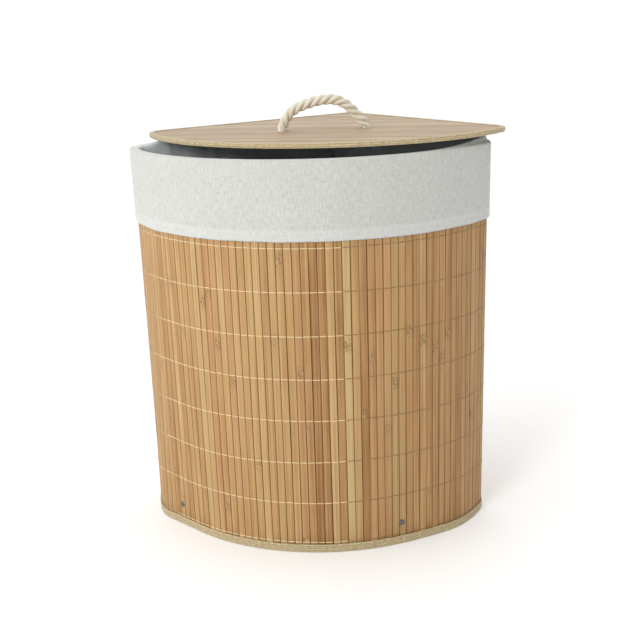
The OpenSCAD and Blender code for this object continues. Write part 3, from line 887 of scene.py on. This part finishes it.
def gathers(s):
    """Height of the bunched cloth over the rim, a rounded swell at each place with a small
    lumpiness on it; how bunched it is, 0 to 1; and how much of it leans in, which is all of
    it at the right end, where the fold stands behind the rim."""
    high = np.zeros(np.shape(s))
    for place, left, right in bunches:
        gap = (s - place + HALF) % (2 * HALF) - HALF
        high = np.maximum(high, np.exp(-(gap / np.where(gap < 0, left, right)) ** 2))
    inward = np.exp(-(((s - right_bunch + 0.030) / 0.085) ** 4))
    lumps = 0.5 + 0.5 * wobble(s, 0 * s, 60, 150, 8, 41)
    return np.clip(GATHER_H * high * (0.80 + 0.20 * lumps), 0, GATHER_H), high, inward

# %% The liner's section and folds
cuff_low = HEIGHT - CUFF_DROP
floor_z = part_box("liner_floor")[0].z + 0.0006
hem = np.array([(0.0026, 0.0120), (0.0026, 0.0070), (0.0026, 0.0020), (0.0023, 0.0006), (0.0017, 0),
                (0.0011, 0.0006), (0.0008, 0.0020)]) + (0, cuff_low)
rim = np.array([(0.0010, -0.0035), (0.0015, -0.0018), (0.0026, -0.0008), (0.0042, -0.0005),
                (0.0060, -0.0004), (0.0078, -0.0005), (0.0094, -0.0009), (0.0106, -0.0018),
                (0.0113, -0.0036)]) + (0, HEIGHT)
cuff_face = np.column_stack([np.full(26, 0.0009), np.linspace(cuff_low + 0.005, HEIGHT - 0.006, 26)])
bag_face = np.column_stack([np.full(46, LINER_IN), np.linspace(HEIGHT - 0.007, floor_z, 46)])
section = np.concatenate([hem, cuff_face, rim, bag_face])
at = np.arange(len(section))
outer_part, inner_part = at < 33, at >= 41
depth_below = HEIGHT - section[:, 1]
rim_weight = np.select([outer_part, inner_part], [np.clip(1 - depth_below / 0.045, 0, 1) ** 2,
                                                  np.clip(1 - depth_below / 0.060, 0, 1) ** 2], 1.0)


def cuff_wave(s, z):
    """How far the cuff stands in from an even face: long waves with fine ones on them."""
    return 0.00045 * wobble(s, z, 9, 30, 6, 44, 6) + 0.00016 * wobble(s, z, 60, 150, 6, 45, 12)

# %% Folds of the liner
def liner_folds(s, z, inset):
    """Change of inset and height at every point of the liner's sheet."""
    lift, bunched, inward = gathers(s)
    weight = rim_weight[None, :]
    leaning = np.clip((inset - 0.0052) / 0.0040, 0, 1)
    rise = lift * weight * (1 - inward + inward * leaning)
    crumple = (0.0009 + 0.0017 * inward * leaning) * wobble(s, z, 70, 240, 9, 43, 40)
    crumple = crumple * bunched * weight
    loose = np.clip((HEIGHT - z) / 0.12, 0, 1) * np.clip((z - floor_z) / 0.05, 0.15, 1)
    hang = 0.0045 * (1 + wobble(s, z, 12, 34, 7, 46, 7)) + 0.0016 * (1 + wobble(s, z, 50, 95, 6, 47, 10))
    hang = hang * loose + 0.0006 * (1 + wobble(s, z, 30, 90, 5, 48))
    smooth = np.clip(cuff_wave(s, z), -0.0009, 0.0007) * (1 - 0.6 * weight)
    change = np.where(outer_part, smooth, 0.0) + np.where(inner_part, hang, 0.0)
    stitched = 0.00018 * np.sin(s * 900) * ((at > 4) & (at < 9))
    edge_wave = 0.00035 * wobble(s, 0 * z, 10, 40, 6, 49) * (at < 12)
    return change + crumple + stitched, np.minimum(rise + 0.7 * crumple, GATHER_H) + edge_wave


liner_s = stations(0.0032, 0.0012)
liner = swept("liner_cloth", section, liner_s, bulge=liner_folds, closed=False)
# How bunched the cloth is at each point; the linen uses it to paint the bunched cloth inside the rim
# lighter.
gathered = np.ascontiguousarray(gathers(liner_s)[1][:, None] * rim_weight, np.float32)
liner.data.attributes.new("gathered", "FLOAT", "POINT").data.foreach_set("value", gathered.ravel())
thicken(liner, 0.0008)
dress(liner, linen_finish, "liner_cloth", "liner", "liner_wall", "liner_rim", "liner_cuff", "liner_hem")

# %% The liner's floor
def rumple(x, y, t):
    """Low soft folds of the cloth that lies on the board."""
    return 0.0008 * (1 + np.sin(x * 41 + 2 * np.sin(y * 17)) * np.sin(y * 37)) * (t < 0.98)


liner_floor = plan_sheet("liner_floor_cloth", 0.0125, floor_z, 26, sheet_s, rumple)
thicken(liner_floor, 0.0008, 1.0)
dress(liner_floor, linen_finish, "liner_cloth", "liner", "liner_floor")
outline_area(0.0125)

# %% [markdown]
# ## Hem stitching
# A row of machine stitches holds the hem. Each stitch is a short raised oval of thread on the
# cloth with a small space before the next, so the row is many small closed capsules.

# %% Stitches
stitch_z = cuff_low + 0.0110
stitch_s = np.arange(-HALF + 0.002, HALF - 0.002, 0.0032)
along_stitch = np.array([-0.0012, -0.00095, -0.0004, 0.0004, 0.00095, 0.0012])
fat = np.array([0.06, 0.75, 1.0, 1.0, 0.75, 0.06])
turns = np.linspace(0, 2 * math.pi, 6, endpoint=False)
s_grid = stitch_s[:, None] + along_stitch
inset = 0.00042 + np.clip(cuff_wave(s_grid, stitch_z), -0.0009, 0.0007)
x, y, nx, ny = (part[..., None] for part in around(s_grid, inset))
out, rise = (0.00024 * fat[:, None] * part(turns) for part in (np.cos, np.sin))
points = np.stack([x + nx * out, y + ny * out, stitch_z + rise + 0 * x], -1)
stitches = grid_piece("hem_stitches", points, closed_m=True, caps=True,
                      uv=(s_grid[:, :, None], np.linspace(0, 1, 7)[None, None, :]))
faces_outward(stitches)
stitch_finish = cotton("hem_thread", (0.80, 0.80, 0.77), (0.62, 0.62, 0.58))
dress(stitches, stitch_finish, "liner_thread", "liner", "hem_stitching")

# %% [markdown]
# ## The lid
# The lid is a thin board faced with bamboo slats laid side to side, lined with black cloth
# and bound with tape. It lies shifted to the right and back and turned a little, so its
# pieces are worked out square to the lid and then moved to where it lies.

# %% Square to the lid, then where it lies
def turned(points, angle):
    """Turns about the upright axis."""
    c, s = math.cos(angle), math.sin(angle)
    x, y, z = np.moveaxis(points, -1, 0)
    return np.stack([c * x - s * y, s * x + c * y, z], -1)


def lie(points):
    """Turns by the lid's turn and moves to where the lid lies."""
    return turned(points, LID_TURN) + (LID_X, LID_Y, 0)

# %% Lid tape and lining
leg, tape_t, in_edge = 0.0070, 0.0006, 0.0007
bend = np.linspace(-math.pi / 2, math.pi / 2, 9)[1:-1]
round_edge = np.column_stack([0.0011 * (1 - np.cos(bend)), LID_T / 2 * (1 + np.sin(bend))])
lid_section = np.array([
    *round_edge, (0.0015, LID_T), (leg - 0.0003, LID_T + 0.00005), (leg, LID_T - 0.0002),
    (leg, LID_T - tape_t), (in_edge, LID_T - tape_t), (in_edge, tape_t), (leg, tape_t), (leg, 0.0002),
    (leg - 0.0003, 0.0), (0.0015, 0.0)]) + (LID_INSET, lid_low)
lid_binding = swept("lid_binding_tape", lid_section, stations(0.003, 0.0014),
                    bulge=pucker(0.00012, (90, 210, 7, 61), 0.00005, (60, 150, 6, 62)))
move_points(lid_binding, lie)
dress(lid_binding, tape_finish, "binding_tape", "lid", "lid_binding")

lining_in = LID_INSET + 0.0008
lining = plan_sheet("lid_lining_cloth", lining_in, lid_low + 0.0008, 26, sheet_s,
                    dimple(0.00008, 90), lie, flip=True)
thicken(lining, 0.0003)
dress(lining, black_finish, "backing_cloth", "lid", "lid_lining")
outline_area(lining_in)

# %% [markdown]
# ## The lid's bamboo
# The lid's slats are right as CAD solids: flat, with hairline gaps and two holes for the rope.
# Their finish has to know which slat a point is on. Object coordinates are turned square to
# the lid; the distance across, divided by the slats' pitch, has the slat's number as its
# whole part and the place across the slat as its fraction.

# %% Bamboo of the lid
LID_PITCH = 0.009


def lid_bamboo():
    f = Finish("lid_bamboo", IOR=1.45)
    c, s = math.cos(-LID_TURN), math.sin(-LID_TURN)
    shift = (-(c * LID_X - s * LID_Y), -(s * LID_X + c * LID_Y), 0.0)
    x, y, _ = f.split(f.node("ShaderNodeMapping", {"vector_type": "POINT"}, {
        0: f.place(), 1: shift, 2: (0.0, 0.0, -LID_TURN)}))
    number, across = (y / LID_PITCH).floor(), (y / LID_PITCH).fraction()
    tone, seed = f.random(number + 0.5), f.random(number + 100.5)
    fibres = f.noise(f.vector(x * 9, y * 1100, seed * 17), 1.0, 3.0, 0.6)
    bands = f.noise(f.vector(x * 6 + seed * 30, y * 330, seed * 9), 1.0, 2.0, 0.5)
    clouds = f.noise(f.vector(x * 18, y * 30, 2), 1.0, 2.0, 0.5)
    shade = tone * 0.55 + 0.22 + (bands - 0.5) * 1.20 + (clouds - 0.5) * 0.45
    colour = f.ramp(shade, (0.0, (0.262, 0.160, 0.088)), (0.3, (0.342, 0.230, 0.136)),
                    (0.55, (0.400, 0.288, 0.175)), (0.8, (0.448, 0.340, 0.215)), (1.0, (0.49, 0.39, 0.26)))
    colour = f.mix(fibres.step(0.53, 0.78) * 0.50, colour, (0.28, 0.175, 0.105))
    colour = f.mix((1 - fibres).step(0.60, 0.82) * 0.30, colour, (0.57, 0.49, 0.375))
    scar_at = f.noise(f.vector(x * 16 + seed * 90, number * 3.3, 4), 1.0, 0.0).step(0.70, 0.76)
    specks = f.noise(f.vector(x * 900, y * 1500, 6), 1.0, 3.0, 0.7)
    colour = f.mix(scar_at * specks.step(0.45, 0.62) * 0.4, colour, (0.34, 0.24, 0.14))
    # Painted shade along both edges of each slat, at the hairline gaps between them.
    edge_shade = (across - 0.5).size().step(0.43, 0.50)
    colour = f.mix(edge_shade * 0.55, colour, (0.25, 0.155, 0.09))
    height = fibres * 0.3 + bands * 0.3 - edge_shade * 1.2
    return f.surface(colour, 0.48 + fibres * 0.15, height, 0.00035, 0.6)


def fibreboard():
    f = Finish("fibreboard", IOR=1.45)
    grit = f.noise(f.place(), 1500, 4.0, 0.7)
    chips = f.spots(f.place(), 700)
    base = f.ramp(grit, (0.3, (0.30, 0.21, 0.13)), (0.7, (0.47, 0.36, 0.25)))
    return f.surface(base, 0.82 + grit * 0.1, grit + chips, 0.0002, 0.5)


repaint("lid_slats", lid_bamboo())
repaint("lid_board", fibreboard())

# %% [markdown]
# ## The rope handle
# The handle is a three-strand cotton rope that comes up through one hole, arches over and
# goes down through the other; a knot under the lid holds each end. Its middle line is set out
# as a few listed points and then smoothed, and each strand winds round it: a strand is the
# middle line plus a small circle that turns once every lay length.

# %% Cotton rope
def rope_cotton():
    f = Finish("rope_cotton", IOR=1.45, Sheen_Weight=0.3, Sheen_Roughness=0.4)
    u, v, _ = f.split(f.cut())
    yarn = f.wave(u * 900 + v * 44)
    fibre = f.noise(f.vector(u * 2600, v * 30, 0), 1.0, 3.0, 0.65)
    cloud = f.noise(f.place(), 90, 2.0, 0.5)
    base = f.ramp(cloud, (0.3, (0.80, 0.755, 0.625)), (0.7, (0.88, 0.845, 0.745)))
    # Painted shade in the grooves between the yarns.
    base = f.mix((1 - yarn) * 0.38, base, (0.60, 0.52, 0.38))
    base = f.mix(fibre.step(0.5, 0.8) * 0.25, base, (0.80, 0.77, 0.69))
    return f.surface(base, 0.84 + fibre * 0.1, yarn + fibre * 0.5, 0.0005, 0.8)

# %% Strands wound on a line
rope_finish = rope_cotton()
ROPE_D, ROPE_SPAN, ROPE_RISE, ROPE_TURN = 0.0136, 0.112, 0.038, math.radians(17)
LAY, ROPE_BACK, ROPE_RIGHT = 0.034, -0.050, 0.003
# As in CAD, the holes are where a round arch of this span and rise is ARCH_FOOT over the lid.
ARCH_FOOT = 0.00635
arch_r = ((ROPE_SPAN / 2) ** 2 + ROPE_RISE ** 2) / (2 * ROPE_RISE)
foot_x = math.sqrt(arch_r ** 2 - (arch_r - ROPE_RISE + ARCH_FOOT) ** 2)
lid_top = lid_low + LID_T


def even_steps(path, step=0.0012):
    """The same line with its points one step apart."""
    run = run_along(path)
    at = np.linspace(0, run[-1], int(run[-1] / step) + 1)
    return np.column_stack([np.interp(at, run, path[:, i]) for i in range(3)])


def carried_frame(path):
    """Two directions square to a line, carried down it without twisting: each step keeps the
    last side direction and takes away its part along the line."""
    along = np.gradient(path, axis=0)
    along /= np.linalg.norm(along, axis=1)[:, None]
    side = np.empty_like(along)
    last = np.eye(3)[1 if abs(along[0][1]) < 0.9 else 0]
    for i, direction in enumerate(along):
        last = last - direction * (last @ direction)
        last /= np.linalg.norm(last)
        side[i] = last
    return side, np.cross(along, side)


def three_strand(path, diameter, lay, taper=np.ones_like):
    """Three strands wound on the line. A strand's middle is 0.262 diameters out and turns once
    per lay; its half thickness is the same, a little less where the strands press."""
    side, other = carried_frame(path)
    run = run_along(path)
    half = 0.262 * diameter * taper(run / run[-1])
    strands = []
    for third in range(3):
        turn = -2 * math.pi * (run / lay + third / 3)
        cos, sin = np.cos(turn)[:, None], np.sin(turn)[:, None]
        out, sideways = cos * side + sin * other, cos * other - sin * side
        strands.append(tube(path + out * half[:, None], out * 0.90, sideways * 1.04, half, 14))
    return np.array(strands), run

# %% The rope over the lid
# Across and up, in millimetres, from under the left hole to under the right one: the rope is
# stiff, so it leans out of the left hole, bends over and comes down slanting into the right one.
rope_way = np.array([
    (-53.2, -11.5), (-54.6, -4), (-57.0, 3), (-53.0, 12.5), (-46.5, 22.5), (-34, 30), (-20, 34.4),
    (-5, 37.6), (9, 38.0), (21, 35.0), (31, 28.5), (39, 20), (47.5, 11), (55.5, 3), (55, -4),
    (53.2, -11.5)]) / 1000
across, high = rope_way.T
line = even_steps(np.column_stack([across, 0.0015 * np.sin(across * 60), high]))
for _ in range(18):
    line[1:-1] = 0.25 * line[:-2] + 0.5 * line[1:-1] + 0.25 * line[2:]


def squeezed(share):
    """Full thickness over the arch, nine tenths of it where the rope is held by the holes."""
    ends = np.minimum(share, 1 - share)
    return 0.90 + 0.10 * np.clip((ends - 0.06) / 0.07, 0, 1)


def on_lid(points):
    """From the handle's own axes to where it stands on the lid."""
    return lie(turned(points, ROPE_TURN) + (ROPE_RIGHT, ROPE_BACK, lid_top))


def rope_piece(name, strands, run):
    """Strands as one object, its UV running along the rope and round each strand."""
    piece = grid_piece(name, on_lid(strands), closed_m=True, caps=True,
                       uv=(run[:, None], np.linspace(0, 1, 15)[None, :]))
    faces_outward(piece)
    return piece


strands, run = three_strand(line, ROPE_D, LAY, squeezed)
rope = rope_piece("rope_handle_strands", strands, run)
rope.data.materials.append(rope_finish.material)
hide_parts("rope_handle")
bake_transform(rope)
print("rope from hole to hole:", round(float(run[-1]), 3), "m")

# %% [markdown]
# ## Knots under the lid
# Each end is an overhand knot pulled tight. An overhand knot is a trefoil: a line that goes
# twice round while it swings in and out three times. The rope squeezes thinner in it.

# %% Overhand knots
t = np.linspace(0, 2 * math.pi, 190)
knot_line = np.column_stack([
    0.0031 * (np.sin(t) + 2 * np.sin(2 * t)), 0.0031 * (np.cos(t) - 2 * np.cos(2 * t)),
    -0.0036 * np.sin(3 * t) - LID_T - 0.0088])
knot, knot_run = three_strand(even_steps(knot_line), 0.0084, 0.026)
knots = np.concatenate([knot - (foot_x, 0, 0), knot + (foot_x, 0, 0)])
dress(rope_piece("rope_knots", knots, knot_run), rope_finish, "rope", "lid", "rope_ends")

# %% [markdown]
# ## Floor and light
# The hamper stands on a plain pale floor under a soft sky that is brighter above, behind and
# to the left; only the camera itself sees that sky as plain white. A broad light stands to
# the left of the camera, so the left of the wall is brighter than the right.

# %% Floor
def pale_floor():
    f = Finish("pale_floor", Specular_IOR_Level=0.2)
    soft = f.noise(f.place(), 3.0, 2.0, 0.5)
    return f.surface(f.mix(soft, (0.93, 0.93, 0.93), (0.95, 0.95, 0.95)), 0.75 + soft * 0.1)


ground = np.array([(-20, -8, -0.0002), (20, -8, -0.0002), (20, 32, -0.0002), (-20, 32, -0.0002)])
floor = new_mesh("floor", ground, [[0, 1, 2, 3]], smooth=False)
floor.data.materials.append(pale_floor().material)

# %% Sky and lamps
world = bpy.data.worlds.new("sky")
bpy.context.scene.world = world
world.use_nodes = True
sky = world.node_tree


def sky_node(kind, operation, first, second):
    """A node of the sky with two inputs, each a number, a vector or another node's output."""
    node = sky.nodes.new(kind)
    node.operation = operation
    for socket, value in zip(node.inputs, (first, second)):
        if isinstance(value, bpy.types.NodeSocket):
            sky.links.new(value, socket)
        else:
            socket.default_value = value
    return node


direction = sky.nodes.new("ShaderNodeTexCoord").outputs["Generated"]
leaning = sky_node("ShaderNodeVectorMath", "DOT_PRODUCT", direction, (-0.15, 0.44, 0.60))
level_of = sky_node("ShaderNodeMath", "ADD", leaning.outputs["Value"], 0.67)
seen = sky.nodes.new("ShaderNodeLightPath").outputs["Is Camera Ray"]
brightest = sky_node("ShaderNodeMath", "MAXIMUM", level_of.outputs[0], seen)
background = sky.nodes["Background"]
background.inputs["Color"].default_value = (1.0, 1.0, 1.0, 1.0)
sky.links.new(brightest.outputs[0], background.inputs["Strength"])


def lamp(name, place, aim, size, power, colour=(1.0, 1.0, 1.0)):
    """A square area light at place, turned to face aim."""
    light = bpy.data.lights.new(name, "AREA")
    light.size, light.energy, light.color = size, power, colour
    piece = bpy.data.objects.new(name, light)
    bpy.context.scene.collection.objects.link(piece)
    piece.location = place
    piece.rotation_euler = (Vector(aim) - Vector(place)).to_track_quat("-Z", "Y").to_euler()


lamp("window", (-0.95, -2.6, 1.50), (0, 0, 0.35), 0.9, 36, (1.0, 0.985, 0.95))
lamp("side_window", (-2.6, -1.2, 1.3), (0, 0, 0.25), 1.6, 10)
bpy.context.scene.view_settings.view_transform = "Standard"
